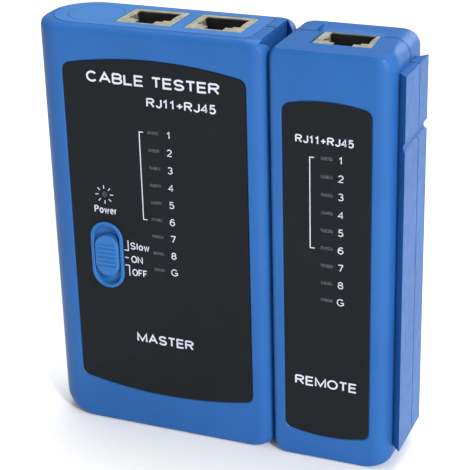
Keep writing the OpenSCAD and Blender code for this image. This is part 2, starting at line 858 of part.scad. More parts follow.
// Door that tips out about its lower edge, with two tabs that hook inside the shell
module battery_door() {
    mid_x = (door_x0 + door_x1) / 2;
    color(body_blue) {
        difference() {
            block([door_x0 + door_play, back_y - door_t, tray_z0 + door_play],
                [door_x1 - door_play, back_y, tray_z1 - door_play]);
            // Spring tongue between two slits, with finger grooves across it
            for (side = [-1, 1]) {
                slit_x = mid_x + side * door_tongue_w / 2;
                block([slit_x - door_slit / 2, back_y - door_t - over, tray_z1 - door_play - door_tongue_h],
                    [slit_x + door_slit / 2, back_y + over, tray_z1]);
            }
            for (i = [0 : door_rib_count - 1]) {
                z = tray_z1 - door_tongue_h + 1 + i * door_rib_pitch;
                block([mid_x - door_rib_l / 2, back_y - 0.6, z],
                    [mid_x + door_rib_l / 2, back_y + over, z + door_rib_w]);
            }
        }
        door_tab_places()
            block([-door_tab_w / 2, back_y - wall - door_tab_t - 0.2, tray_z0 + door_play - door_tab_drop],
                [door_tab_w / 2, back_y - wall - 0.2, tray_z0 + door_play + 0.8]);
        door_tab_places()
            block([-door_tab_w / 2, back_y - wall - 0.3, tray_z0 + door_play],
                [door_tab_w / 2, back_y - wall + eps, tray_z0 + door_play + 0.8]);
    }
}

module door_pad() {
    color([0.25, 0.25, 0.26])
        block([door_x0 + 8, back_y - door_t - pad_t, tray_z0 + 6],
            [door_x1 - 8, back_y - door_t, tray_z1 - 11]);
}

module master_screws() {
    for (p = master_bosses) case_screw(p[0], p[1], back_y - 0.5);
}

module board_screws() {
    for (p = master_posts) board_screw(p[0], p[1]);
}

// ---- Remote unit ----

module remote_solid() {
    case_body(remote_x0, remote_x1, remote_plan_r, remote_front_r, 0);
    right_rail();
    left_rail();
}

// Cuts the remote's top: a gentle fall towards the front, a bevelled recess behind the port that
// laps over the port's rear edge, and the port's own opening
module remote_top_cuts() {
    low = remote_port_z + 0.02;
    lap_y = port_y + port_d - port_lap;
    side_extrude(remote_x0 - over, remote_x1 + over)
        polygon([[seam_y, unit_h], [seam_y, unit_h + over], [front_y - over, unit_h + over],
            [front_y - over, unit_h - top_fall], [front_y + 1.5, unit_h - top_fall]]);
    side_extrude(remote_port_x - port_w / 2 - recess_rim, remote_port_x + port_w / 2 + recess_rim)
        polygon([[seam_y - eps, unit_h + over], [seam_y - eps, low], [lap_y, low],
            [lap_y + recess_run, unit_h], [lap_y + recess_run, unit_h + over]]);
    block([remote_port_x - port_w / 2 - port_play, port_y - port_play, unit_h - 12],
        [remote_port_x + port_w / 2 + port_play, port_y + port_d + port_play, low]);
    block([remote_port_x - port_w / 2 - port_play, port_y - port_play, low - eps],
        [remote_port_x + port_w / 2 + port_play, lap_y, unit_h + over]);
}

module remote_hollow() {
    case_body(remote_x0, remote_x1, remote_plan_r, remote_front_r, wall + 0.4);
}

module remote_front_shell() {
    color(body_blue) difference() {
        union() {
            difference() {
                intersection() {
                    remote_solid();
                    front_half();
                }
                remote_hollow();
            }
            front_bosses(remote_bosses);
            board_posts(remote_posts);
        }
        boss_pilots(remote_bosses);
        remote_top_cuts();
        front_extrude(front_y - over, front_y + label_recess)
            label_outline(remote_label_x0, remote_label_x1, remote_label_z, remote_label_sag, 0);
        lamp_slots(remote_lamp_x, remote_lamp_top_z, slot_play, front_y, front_y + wall + over);
    }
}

module remote_rear_shell() {
    color(body_blue) difference() {
        union() {
            difference() {
                intersection() {
                    remote_solid();
                    rear_half();
                }
                remote_hollow();
            }
            rear_bosses(remote_bosses);
        }
        screw_sinks(remote_bosses);
        remote_top_cuts();
    }
}

module remote_label() {
    color(label_black) difference() {
        front_extrude(front_y + label_recess - label_t, front_y + label_recess)
            label_outline(remote_label_x0, remote_label_x1, remote_label_z, remote_label_sag, label_play);
        lamp_slots(remote_lamp_x, remote_lamp_top_z, window_play, front_y - over,
            front_y + label_recess + over);
    }
}

module remote_board() {
    color(board_green) difference() {
        block([remote_board_x0, board_front, remote_board_z0],
            [remote_board_x1, board_back, remote_board_z1]);
        for (p = remote_posts) y_rod(p[0], p[1], board_screw_r + 0.15, board_front - over, board_back + over);
    }
}

module remote_lamps() { lamp_column(remote_lamp_x, remote_lamp_top_z); }
module remote_port_shield() { port_shield(remote_port_x, remote_port_z); }
module remote_port_housing() { port_housing(remote_port_x, remote_port_z); }
module remote_port_contacts() { port_contacts(remote_port_x, remote_port_z); }

module remote_diodes() { axial_parts(remote_diode_at, 8, dark); }
module remote_resistors() { axial_parts(remote_axial_at, 6, tan_body); }

module remote_screws() {
    for (p = remote_bosses) case_screw(p[0], p[1], back_y - 0.5);
}

module remote_board_screws() {
    for (p = remote_posts) board_screw(p[0], p[1]);
}

master_front_shell();
master_rear_shell();
master_top_plate();
blanking_disc();
master_label();
master_board();
master_lamps();
power_lamp();
switch_bezel();
switch_knob();
switch_slider();
switch_frame();
switch_base();
switch_terminals();
port_1_shield();
port_1_housing();
port_1_contacts();
port_2_shield();
port_2_housing();
port_2_contacts();
counter_chip();
timer_chip();
master_resistors();
capacitor();
battery();
battery_terminals();
battery_snap();
lead_red();
lead_black();
battery_door();
door_pad();
master_screws();
board_screws();
remote_front_shell();
remote_rear_shell();
remote_label();
remote_board();
remote_lamps();
remote_port_shield();
remote_port_housing();
remote_port_contacts();
remote_diodes();
remote_resistors();
remote_screws();
remote_board_screws();
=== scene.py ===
"""Looks of the network cable tester: shells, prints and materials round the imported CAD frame."""

import json
import math

import bmesh
import bpy
from mathutils import Matrix, Vector


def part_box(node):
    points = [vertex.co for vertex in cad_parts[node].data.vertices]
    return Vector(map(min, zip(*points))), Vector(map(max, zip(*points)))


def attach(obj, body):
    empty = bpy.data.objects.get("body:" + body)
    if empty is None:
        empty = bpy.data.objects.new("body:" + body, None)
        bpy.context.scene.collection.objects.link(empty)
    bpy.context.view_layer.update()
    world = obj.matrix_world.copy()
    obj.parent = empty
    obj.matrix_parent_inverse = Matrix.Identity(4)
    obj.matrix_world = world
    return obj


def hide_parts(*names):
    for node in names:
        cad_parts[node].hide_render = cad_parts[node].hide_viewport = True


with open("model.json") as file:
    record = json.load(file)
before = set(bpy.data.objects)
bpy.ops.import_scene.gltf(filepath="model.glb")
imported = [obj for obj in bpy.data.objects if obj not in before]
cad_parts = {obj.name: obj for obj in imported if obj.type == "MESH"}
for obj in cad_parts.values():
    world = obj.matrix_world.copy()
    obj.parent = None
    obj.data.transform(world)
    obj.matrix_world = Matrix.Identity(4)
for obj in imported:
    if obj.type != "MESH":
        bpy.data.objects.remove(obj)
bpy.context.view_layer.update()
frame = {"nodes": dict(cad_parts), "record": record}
NODES = frame["nodes"]
SLOTS = {row["node"]: row["material_slot"] for row in frame["record"]["subparts"]}
MM = 0.001

# Sizes in millimetres, as the CAD has them
UNIT_H = 120.5
FRONT_Y = -11.9
BACK_Y = 13.1
SEAM_Y = 2.1
RAIL_DEPTH = 2.5
RAIL_END = 6.2
DETENT_Z, DETENT_H, DETENT_DEPTH = 95.4, 2.6, 0.7
LABEL_PLAY = 0.1
LABEL_CORNER = 2.4
LABEL_FACE = -11.72
LAMP_PITCH = 5.08
POWER_AT = (-33.1, 72.3)
SWITCH_AT = (-33.1, 54.0)
BEZEL_W, BEZEL_H, BEZEL_BACK = 9.9, 20.1, 2.2
KNOB_W, KNOB_H = 7.3, 12.4
STEM_SLOT_W, STEM_SLOT_H = 3.6, 11.8
STEM_HALF_W, STEM_HALF_H = 1.5, 2

# Finer shapes of the visible pieces, in millimetres. PAST is how far a tool reaches beyond the case.
SKIN_INSET = 0.1
RAIL_GROW = 0.02
RIM = 0.42
SEAM_HALF = 0.24
SEAM_DEEP = 0.5
PAST = 1
SHIELD_BEVEL = 0.12
COVER_BEVEL = 0.15

# The knob's ridges, in millimetres, with depths counted from the front of the case
RIDGE_COUNT, RIDGE_PITCH, RIDGE_SHIFT = 6, 1.3, -0.35
RIDGE_H, RIDGE_HALF, RIDGE_ENDS = 0.42, 0.46, 0.55
RIDGE_FOOT, RIDGE_ROOT = -0.75, -0.5

# Faces that meet at less than these angles, in degrees, look smooth
SHELL_SMOOTH, KNOB_SMOOTH, BEZEL_SMOOTH = 28, 38, 40

# ---- Camera, as the photograph looks at the object ----

CAMERA_TARGET = Vector((5.3, -10.3, 64.9)) * MM
CAMERA_DISTANCE = 420 * MM
CAMERA_AZIMUTH = math.radians(22.77)
CAMERA_ELEVATION = math.radians(23.74)
CAMERA_ROLL = math.radians(-1.54)
CAMERA_LENS = 118.5


def make_camera():
    data = bpy.data.cameras.new("camera")
    data.lens = CAMERA_LENS
    data.sensor_width = 36
    data.clip_start = 0.01
    data.clip_end = 20
    camera = bpy.data.objects.new("camera", data)
    bpy.context.scene.collection.objects.link(camera)
    across = math.cos(CAMERA_ELEVATION)
    back = Vector((math.sin(CAMERA_AZIMUTH) * across, -math.cos(CAMERA_AZIMUTH) * across,
                   math.sin(CAMERA_ELEVATION)))
    turn = (-back).to_track_quat("-Z", "Y").to_matrix().to_4x4()
    roll = Matrix.Rotation(CAMERA_ROLL, 4, "Z")
    camera.matrix_world = Matrix.Translation(CAMERA_TARGET + back * CAMERA_DISTANCE) @ turn @ roll
    bpy.context.scene.camera = camera


# ---- Materials ----

def srgb(r, g, b):
    """An sRGB colour, 0 to 255, as linear RGBA."""
    linear = (((v / 255 + 0.055) / 1.055) ** 2.4 if v > 10 else v / 255 / 12.92 for v in (r, g, b))
    return (*linear, 1)


class Maker:
    """Adds nodes to one new material."""

    def __init__(self, name):
        self.material = bpy.data.materials.new(name)
        self.material.use_nodes = True
        self.tree = self.material.node_tree
        self.shader = self.tree.nodes["Principled BSDF"]
        self.where = self.tree.nodes.new("ShaderNodeTexCoord").outputs["Object"]

    def node(self, kind, **values):
        made = self.tree.nodes.new(kind)
        for key, value in values.items():
            if hasattr(made, key):
                setattr(made, key, value)
            else:
                made.inputs[key.replace("_", " ")].default_value = value
        return made

    def link(self, a, b):
        self.tree.links.new(a, b)

    def noise(self, size_mm, detail=2.0, stretch=(1, 1, 1)):
        """Noise whose grains are about size_mm across."""
        mapping = self.node("ShaderNodeMapping")
        mapping.inputs["Scale"].default_value = [s / (size_mm * MM) for s in stretch]
        self.link(self.where, mapping.inputs["Vector"])
        made = self.node("ShaderNodeTexNoise", Scale=1.0, Detail=detail)
        self.link(mapping.outputs["Vector"], made.inputs["Vector"])
        return made.outputs["Fac"]

    def ramp(self, fac, low, high, start=0.35, end=0.65):
        made = self.node("ShaderNodeValToRGB")
        made.color_ramp.elements[0].position = start
        made.color_ramp.elements[0].color = low
        made.color_ramp.elements[1].position = end
        made.color_ramp.elements[1].color = high
        self.link(fac, made.inputs["Fac"])
        return made.outputs["Color"]

    def span(self, fac, low, high):
        """Maps 0.3 to 0.7 of a noise onto low to high."""
        made = self.node("ShaderNodeMapRange")
        for name, value in (("From Min", 0.3), ("From Max", 0.7), ("To Min", low), ("To Max", high)):
            made.inputs[name].default_value = value
        self.link(fac, made.inputs["Value"])
        return made.outputs["Result"]

    def bump(self, height, depth_mm, strength=1.0, after=None):
        made = self.node("ShaderNodeBump", Strength=strength, Distance=depth_mm * MM)
        self.link(height, made.inputs["Height"])
        if after is not None:
            self.link(after, made.inputs["Normal"])
        return made.outputs["Normal"]

    def set(self, **values):
        for key, value in values.items():
            self.shader.inputs[key.replace("_", " ")].default_value = value

    def drive(self, socket, source):
        self.link(source, self.shader.inputs[socket])


def moulded(name, low, high, rough, grain_mm=0.35, grain_depth=0.02, coat=0.0, spec=0.5):
    """Moulded plastic: fine spark-eroded grain, slow colour drift and uneven gloss."""
    m = Maker(name)
    drift = m.noise(28, 3)
    m.drive("Base Color", m.ramp(drift, srgb(*low), srgb(*high)))
    m.drive("Roughness", m.span(m.noise(3.5, 4), rough - 0.05, rough + 0.06))
    fine = m.bump(m.noise(grain_mm, 3), grain_depth, 0.6)
    m.drive("Normal", m.bump(m.noise(14, 2), 0.05, 0.35, fine))
    m.set(Specular_IOR_Level=spec, Coat_Weight=coat, Coat_Roughness=0.14)
    return m.material


def lens_material(name, low, high):
    """Dull diffused lens with darker flecks and upright streaks."""
    m = Maker(name)
    flecks = m.noise(0.55, 3, (1.6, 1, 0.6))
    m.drive("Base Color", m.ramp(flecks, srgb(*low), srgb(*high), 0.4, 0.62))
    m.drive("Roughness", m.span(m.noise(0.8, 2), 0.32, 0.5))
    m.drive("Normal", m.bump(flecks, 0.04, 0.6))
    m.set(Specular_IOR_Level=0.25)
    return m.material


def metal(name, low, high, rough, stretch=(1, 1, 8)):
    """Thin plated metal with a rolled grain and slight stains."""
    m = Maker(name)
    m.drive("Base Color", m.ramp(m.noise(2.5, 4), srgb(*low), srgb(*high)))
    m.drive("Roughness", m.span(m.noise(0.6, 3, stretch), rough - 0.08, rough + 0.1))
    m.drive("Normal", m.bump(m.noise(0.25, 2, stretch), 0.01, 0.5))
    m.set(Metallic=0.85)
    return m.material


def board_material(name):
    """Green solder mask over faint copper tracks."""
    m = Maker(name)
    tracks = m.node("ShaderNodeTexBrick", Scale=1.0)
    mapping = m.node("ShaderNodeMapping")
    mapping.inputs["Scale"].default_value = (320, 320, 320)
    mapping.inputs["Rotation"].default_value = (math.radians(90), 0, 0)
    m.link(m.where, mapping.inputs["Vector"])
    m.link(mapping.outputs["Vector"], tracks.inputs["Vector"])
    tracks.inputs["Color1"].default_value = srgb(16, 92, 56)
    tracks.inputs["Color2"].default_value = srgb(20, 104, 62)
    tracks.inputs["Mortar"].default_value = srgb(40, 132, 80)
    tracks.inputs["Mortar Size"].default_value = 0.04
    m.drive("Base Color", tracks.outputs["Color"])
    m.drive("Roughness", m.span(m.noise(1.5, 3), 0.25, 0.4))
    m.drive("Normal", m.bump(tracks.outputs["Fac"], 0.03, 0.6))
    return m.material


def foam_material(name):
    m = Maker(name)
    cells = m.node("ShaderNodeTexVoronoi", Scale=1.0)
    mapping = m.node("ShaderNodeMapping")
    mapping.inputs["Scale"].default_value = (2200, 2200, 2200)
    m.link(m.where, mapping.inputs["Vector"])
    m.link(mapping.outputs["Vector"], cells.inputs["Vector"])
    m.drive("Base Color", m.ramp(cells.outputs["Distance"], srgb(34, 34, 36), srgb(74, 74, 76),
                                 0.1, 0.7))
    m.drive("Normal", m.bump(cells.outputs["Distance"], 0.25, 0.9))
    m.set(Roughness=0.95)
    return m.material


def make_materials():
    return {
        "blue_case": moulded("blue_case", (34, 87, 150), (38, 92, 157), 0.42,
                             coat=0.06, spec=0.13),
        "blue_trim": moulded("blue_trim", (42, 102, 166), (48, 108, 173), 0.42, spec=0.2),
        "black_label": moulded("black_label", (14, 18, 22), (18, 22, 26), 0.7, 0.22, 0.012,
                               spec=0.18),
        "circuit_board": board_material("circuit_board"),
        "lamp_lens": lens_material("lamp_lens", (26, 30, 34), (74, 78, 84)),
        "power_lens": lens_material("power_lens", (28, 40, 52), (52, 66, 80)),
        "port_shield": metal("port_shield", (176, 174, 150), (208, 206, 184), 0.36),
        "black_plastic": moulded("black_plastic", (14, 15, 17), (24, 26, 28), 0.5),
        "gold_contact": metal("gold_contact", (196, 150, 62), (232, 196, 110), 0.25),
        "white_plastic": moulded("white_plastic", (214, 214, 208), (226, 226, 222), 0.5),
        "resistor_body": moulded("resistor_body", (196, 168, 116), (214, 190, 140), 0.45),
        "capacitor_can": moulded("capacitor_can", (26, 34, 74), (36, 46, 92), 0.35),
        "battery_case": moulded("battery_case", (40, 40, 44), (56, 56, 60), 0.35),
        "steel": metal("steel", (168, 170, 174), (204, 206, 210), 0.32),
        "red_insulation": moulded("red_insulation", (168, 24, 22), (188, 32, 28), 0.4),
        "black_insulation": moulded("black_insulation", (16, 16, 18), (26, 26, 28), 0.4),
        "foam": foam_material("foam"),
        "print": moulded("print", (186, 189, 204), (202, 205, 218), 0.75, 0.15, 0.008, spec=0.2),
    }


def dress_cad(materials):
    """Gives each CAD node the material of its slot, and the power lamp a bluer lens."""
    for name, piece in NODES.items():
        dress(piece, materials["power_lens" if name == "power_lamp" else SLOTS[name]])


def soften_edges(names, width_mm):
    """Breaks the sharp edges of CAD nodes with a small bevel."""
    for name in names:
        weld = NODES[name].modifiers.new("weld", "WELD")
        weld.merge_threshold = 0.002 * MM
        bevel = NODES[name].modifiers.new("edges", "BEVEL")
        bevel.width = width_mm * MM
        bevel.segments = 2
        bevel.limit_method = "ANGLE"
        bevel.angle_limit = math.radians(40)
        bevel.harden_normals = True


# ---- Mesh helpers ----

def add_mesh(name, verts, faces, material=None, smooth_deg=None):
    mesh = bpy.data.meshes.new(name)
    mesh.from_pydata([Vector(v) * MM for v in verts], [], faces)
    piece = bpy.data.objects.new(name, mesh)
    bpy.context.scene.collection.objects.link(piece)
    clean(piece)
    if material:
        dress(piece, material)
    if smooth_deg:
        shade(piece, smooth_deg)
    return piece


def clean(piece):
    """Welds doubled points, drops stray ones and turns all faces outward."""
    bm = bmesh.new()
    bm.from_mesh(piece.data)
    bmesh.ops.remove_doubles(bm, verts=bm.verts, dist=1e-6)
    bmesh.ops.dissolve_degenerate(bm, edges=bm.edges, dist=1e-6)
    loose = [v for v in bm.verts if not v.link_faces]
    bmesh.ops.delete(bm, geom=loose, context="VERTS")
    bmesh.ops.recalc_face_normals(bm, faces=bm.faces)
    bm.to_mesh(piece.data)
    bm.free()


def dress(piece, material):
    piece.data.materials.clear()
    piece.data.materials.append(material)


def shade(piece, degrees):
    """Smooth shading, where a corner's normal averages the faces within degrees of its own face."""
    mesh = piece.data
    mesh.shade_smooth()
    limit = math.cos(math.radians(degrees))
    around = [[] for _ in mesh.vertices]
    for face in mesh.polygons:
        for v in face.vertices:
            around[v].append((face.normal.copy(), face.area))
    normals = []
    for face in mesh.polygons:
        for v in face.vertices:
            near = [normal * area for normal, area in around[v] if normal.dot(face.normal) > limit]
            normals.append(sum(near, Vector()).normalized())
    mesh.normals_split_custom_set(normals)


def drop(piece):
    mesh = piece.data
    bpy.data.objects.remove(piece)
    if mesh.users == 0:
        bpy.data.meshes.remove(mesh)


def combine(piece, tool, how="DIFFERENCE", keep=False):
    """Applies a boolean of tool to piece."""
    step = piece.modifiers.new("step", "BOOLEAN")
    step.operation = how
    step.solver = "EXACT"
    step.object = tool
    apply_steps(piece)
    if not keep:
        drop(tool)
    return piece


def apply_steps(piece):
    depsgraph = bpy.context.evaluated_depsgraph_get()
    old = piece.data
    piece.data = bpy.data.meshes.new_from_object(piece.evaluated_get(depsgraph))
    piece.modifiers.clear()
    if old.users == 0:
        bpy.data.meshes.remove(old)


def loft(name, rings, material=None, smooth_deg=None, closed=False):
    """A skin through rings of equal length, capped at both ends or closed on itself."""
    count = len(rings[0])
    verts = [p for ring in rings for p in ring]
    faces = []
    for i in range(len(rings) if closed else len(rings) - 1):
        a, b = i * count, (i + 1) % len(rings) * count
        for j in range(count):
            k = (j + 1) % count
            faces.append((a + j, a + k, b + k, b + j))
    if not closed:
        faces.append(tuple(reversed(range(count))))
        faces.append(tuple(range((len(rings) - 1) * count, len(rings) * count)))
    return add_mesh(name, verts, faces, material, smooth_deg)


def box_mesh(name, low, high):
    (a, b, c), (d, e, f) = low, high
    return loft(name, [[(a, b, z), (d, b, z), (d, e, z), (a, e, z)] for z in (c, f)])


def copy_node(name, source):
    """A new piece with the shape of a CAD node."""
    piece = bpy.data.objects.new(name, NODES[source].data.copy())
    bpy.context.scene.collection.objects.link(piece)
    piece.matrix_world = NODES[source].matrix_world.copy()
    bpy.context.view_layer.update()
    return piece


def finish(piece, body, slot, *nodes):
    """Hands a piece over: it rides on a body and stands for the nodes, which are hidden. slot is not
    used.
    """
    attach(piece, body)
    if nodes:
        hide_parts(*nodes)
    return piece


# ---- Case shells ----

# Steps of a plan corner, an edge rounding, a label corner, a bowed label end and a round tool
ARC_STEPS = 12
EDGE_STEPS = 10
CORNER_STEPS = 8
BOW_STEPS = 40
ROUND_STEPS = 60
LEAST_STEP = 0.004
LEAST_RADIUS = 0.5


def plan_ring(x0, x1, y0, y1, radii, z):
    """Rounded rectangle in plan: radii at front-left, front-right, rear-right and rear-left."""
    ring = []
    corners = ((x0, y0, 1, 1, 180), (x1, y0, -1, 1, 270), (x1, y1, -1, -1, 0), (x0, y1, 1, -1, 90))
    for (x, y, sx, sy, start), r in zip(corners, radii):
        for i in range(ARC_STEPS + 1):
            a = math.radians(start + 90 * i / ARC_STEPS)
            ring.append((x + sx * r + r * math.cos(a), y + sy * r + r * math.sin(a), z))
    return ring


def edge_inset(z, low, high, r_low, r_high):
    """How far a side is drawn in at height z by the rounding of its lower and upper edge."""
    if z < low + r_low:
        return r_low - math.sqrt(max(r_low ** 2 - (low + r_low - z) ** 2, 0))
    if z > high - r_high:
        return r_high - math.sqrt(max(r_high ** 2 - (z - high + r_high) ** 2, 0))
    return 0


def case_solid(name, x0, x1, plan_r, edge_r, inset):
    """A case as a stack of plan rings.

    edge_r holds the lower and upper rounding of the left, right, front and rear.
    """
    low, high = inset, UNIT_H - inset
    levels = {low, high}
    for side in edge_r:
        for r, base, sign in ((side[0], low, 1), (side[1], high, -1)):
            for i in range(EDGE_STEPS + 1):
                turn = math.radians(90 * i / EDGE_STEPS)
                levels.add(round(base + sign * r * (1 - math.cos(turn)), 4))
    levels = sorted(levels)
    kept = [levels[0]]
    for z in levels[1:]:
        if z - kept[-1] > LEAST_STEP:
            kept.append(z)
    radii = [max(r - inset, LEAST_RADIUS) for r in plan_r]
    rings = []
    for z in kept:
        left, right, front, rear = (edge_inset(z, low, high, *side) for side in edge_r)
        rings.append(plan_ring(x0 + inset + left, x1 - inset - right,
                               FRONT_Y + inset + front, BACK_Y - inset - rear, radii, z))
    return loft(name, rings)


def dovetail_solid(name, side_x, out, mid, neck, face, grow):
    """A rail, grown all round. side_x is where it meets the case and out is its direction."""
    depth = RAIL_DEPTH + grow
    near = side_x - out * 0.06
    far = side_x + out * depth
    ring = [(near, mid - neck / 2 - grow), (far, mid - face / 2 - grow),
            (far, mid + face / 2 + grow), (near, mid + neck / 2 + grow)]
    ends = (RAIL_END - grow, UNIT_H - RAIL_END + grow)
    return loft(name, [[(x, y, z) for x, y in ring] for z in ends])


def bow_outline(x0, x1, z0, z1, sag, corner, grow):
    """Label outline in front view, as (x, z): straight sides and bowed ends, grown all round."""
    half = (x1 - x0) / 2
    bow = (half * half + sag * sag) / (2 * sag)
    middle = x0 + half
    reach = math.sqrt((bow - corner) ** 2 - (half - corner) ** 2)
    turn = math.atan2(reach, half - corner)
    corner_r, bow_r = corner + grow, bow + grow
    points = []
    for centre_z, sign in ((z1 - bow, 1), (z0 + bow, -1)):
        for side in (1, -1):
            cx = middle + side * sign * (half - corner)
            cz = centre_z + sign * reach
            first, last = (0, turn) if side == 1 else (math.pi - turn, math.pi)
            for i in range(CORNER_STEPS + 1):
                a = first + (last - first) * i / CORNER_STEPS
                points.append((cx + sign * corner_r * math.cos(a), cz + sign * corner_r * math.sin(a)))
            if side == 1:
                for i in range(1, BOW_STEPS):
                    a = turn + (math.pi - 2 * turn) * i / BOW_STEPS
                    points.append((middle + sign * bow_r * math.cos(a),
                                   centre_z + sign * bow_r * math.sin(a)))
    return points


def front_ring(points, y):
    return [(x, y, z) for x, z in points]


class Unit:
    """The numbers that tell the master's case from the remote's, in millimetres."""

    def __init__(self, name, x0, x1, plan_r, edge_r, sag, rails=(), groove=None):
        self.name, self.x0, self.x1 = name, x0, x1
        self.plan_r, self.edge_r, self.sag = plan_r, edge_r, sag
        self.rails, self.groove = rails, groove

    def solid(self, name, inset, rail_inset):
        """The case with its rails, drawn in by the insets."""
        made = case_solid(name, self.x0, self.x1, self.plan_r, self.edge_r, inset)
        for rail in self.rails:
            grow = RAIL_GROW - rail_inset
            combine(made, dovetail_solid("rail_tool", *rail, grow=grow), "UNION")
        return made


MASTER = Unit("master", -52.5, 15.8, plan_r=(8, 4.5, 2, 11.5), sag=2.9,
              edge_r=((6, 1.5), (4, 3.6), (1, 2.4), (2, 2)),
              groove=((13.0, -11.2, 5.6), (20, 11.4, 130)))
REMOTE = Unit("remote", 16.1, 50.0, plan_r=(1.6, 5, 2, 2), sag=1.6,
              edge_r=((4, 4.5), (4, 4.5), (1, 3), (2, 2)),
              rails=((50.0, 1, 0.0, 14.8, 20.4), (16.1, -1, 0.1, 14.4, 19.6)))


def label_chamfer(unit):
    """Tool that breaks the rim of a label recess at 45 degrees."""
    node_low, node_high = (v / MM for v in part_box(unit.name + "_label"))
    low_x, high_x = node_low.x - LABEL_PLAY, node_high.x + LABEL_PLAY
    low_z, high_z = node_low.z - LABEL_PLAY, node_high.z + LABEL_PLAY
    rings = []
    for y, grow in ((FRONT_Y + RIM, -0.02), (FRONT_Y - 0.3, RIM + 0.28)):
        outline = bow_outline(low_x, high_x, low_z, high_z, unit.sag, LABEL_CORNER, grow)
        rings.append(front_ring(outline, y))
    return loft("chamfer_tool", rings)


def seam_tool(unit):
    """Tool that cuts the thin groove all round, where the front and rear shell meet."""
    slab = box_mesh("seam_tool", (unit.x0 - 4, SEAM_Y - SEAM_HALF, -2),
                    (unit.x1 + 4, SEAM_Y + SEAM_HALF, UNIT_H + 2))
    core = unit.solid("core", SEAM_DEEP, SEAM_DEEP)
    if unit.groove:
        combine(core, box_mesh("floor_tool", *unit.groove))
    return combine(slab, core)


def detent_tools(unit):
    """Tools that round the notch across each rail."""
    tools = []
    r = (DETENT_H ** 2 / 4 + DETENT_DEPTH ** 2) / (2 * DETENT_DEPTH)
    for side_x, out, *_ in unit.rails:
        x = side_x + out * (RAIL_DEPTH - DETENT_DEPTH + r)
        turns = [math.radians(360 * i / ROUND_STEPS) for i in range(ROUND_STEPS)]
        ring = [(x + r * math.cos(a), DETENT_Z + r * math.sin(a)) for a in turns]
        ends = (FRONT_Y - PAST, BACK_Y + PAST)
        tools.append(loft("detent_tool", [front_ring(ring, y) for y in ends]))
    return tools


def make_shells(unit, material):
    """Trims the CAD's two shells of a case to a finely stepped form with its seam and label rim."""
    outer = unit.solid("outer", SKIN_INSET, 0)
    for tool in detent_tools(unit):
        combine(outer, tool)
    seam = seam_tool(unit)
    rim = label_chamfer(unit)
    for half in ("front", "rear"):
        node = f"{unit.name}_{half}_shell"
        piece = copy_node(node + "_skin", node)
        combine(piece, outer, "INTERSECT", keep=True)
        combine(piece, seam, keep=True)
        if half == "front":
            combine(piece, rim, keep=True)
        clean(piece)
        dress(piece, material)
        shade(piece, SHELL_SMOOTH)
        finish(piece, unit.name, "blue_case", node)
    for tool in (outer, seam, rim):
        drop(tool)


# ---- Switch ----

def obround_ring(w, h, y, centre):
    """Upright slot outline in front view at depth y."""
    ring = []
    r = w / 2
    for start, side in ((0, 1), (180, -1)):
        for i in range(17):
            a = math.radians(start + 180 * i / 16)
            middle_z = centre[1] + side * (h - w) / 2
            ring.append((centre[0] + r * math.cos(a), y, middle_z + r * math.sin(a)))
    return ring


def make_bezel(material):
    """Ring with a shallow channel on its face, a rounded inner lip and a slotted floor."""
    profile = [(0, 0.18), (0, -0.3), (0.1, -0.41), (0.26, -0.45), (0.4, -0.45), (0.47, -0.3),
               (0.56, -0.3), (0.63, -0.45), (0.74, -0.45), (0.88, -0.38), (0.97, -0.2), (1.0, 0.1),
               (1.0, 1.5), (1.15, 1.6)]
    outlines = [(BEZEL_W - 2 * o, BEZEL_H - 2 * o, y) for o, y in profile]
    outlines += [(STEM_SLOT_W, STEM_SLOT_H, y) for y in (1.6, BEZEL_BACK)]
    outlines += [(BEZEL_W - 1, BEZEL_H - 1, y) for y in (BEZEL_BACK, 0.18)]
    rings = [obround_ring(w, h, FRONT_Y + y, SWITCH_AT) for w, h, y in outlines]
    piece = loft("switch_bezel_ring", rings, material, BEZEL_SMOOTH, closed=True)
    finish(piece, "master", "blue_trim", "switch_bezel")


def ridge_tool(z):
    """One soft ridge across the knob, with its middle at height z."""
    reach = KNOB_W / 2 - RIDGE_ENDS
    sections = []
    for t, size in ((-1, 0.3), (-0.97, 0.7), (-0.9, 1), (0.9, 1), (0.97, 0.7), (1, 0.3)):
        x = SWITCH_AT[0] + t * reach
        section = []
        for k in range(13):
            a = math.pi * k / 12
            section.append((x, FRONT_Y + RIDGE_FOOT - RIDGE_H * size * math.sin(a),
                            z + RIDGE_HALF * math.cos(a)))
        section.append((x, FRONT_Y + RIDGE_ROOT, z - RIDGE_HALF))
        section.append((x, FRONT_Y + RIDGE_ROOT, z + RIDGE_HALF))
        sections.append(section)
    return loft("ridge_tool", sections)


def make_knob(material):
    """Knob with rounded edges, a dished face and a row of soft ridges."""
    profile = [(0, 1.1), (0, -0.45), (0.05, -0.62), (0.17, -0.78), (0.34, -0.88), (0.55, -0.9),
               (0.8, -0.86), (1.2, -0.78)]
    rings = [obround_ring(KNOB_W - 2 * o, KNOB_H - 2 * o, FRONT_Y + y, SWITCH_AT) for o, y in profile]
    piece = loft("switch_knob_cap", rings)
    for i in range(RIDGE_COUNT):
        z = SWITCH_AT[1] + (i - (RIDGE_COUNT - 1) / 2) * RIDGE_PITCH + RIDGE_SHIFT
        combine(piece, ridge_tool(z), "UNION")
    x, z = SWITCH_AT
    stem_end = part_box("switch_knob")[1].y / MM
    stem = box_mesh("stem_tool", (x - STEM_HALF_W, FRONT_Y + 1, z - STEM_HALF_H),
                    (x + STEM_HALF_W, stem_end, z + STEM_HALF_H))
    combine(piece, stem, "UNION")
    clean(piece)
    dress(piece, material)
    shade(piece, KNOB_SMOOTH)
    finish(piece, "switch", "blue_trim", "switch_knob")


# ---- Prints on the labels ----

PRINT_SINK = 0.02
PRINT_LIFT = 0.03
LAYER = 0.004
NUMBER_CAP = 2.1


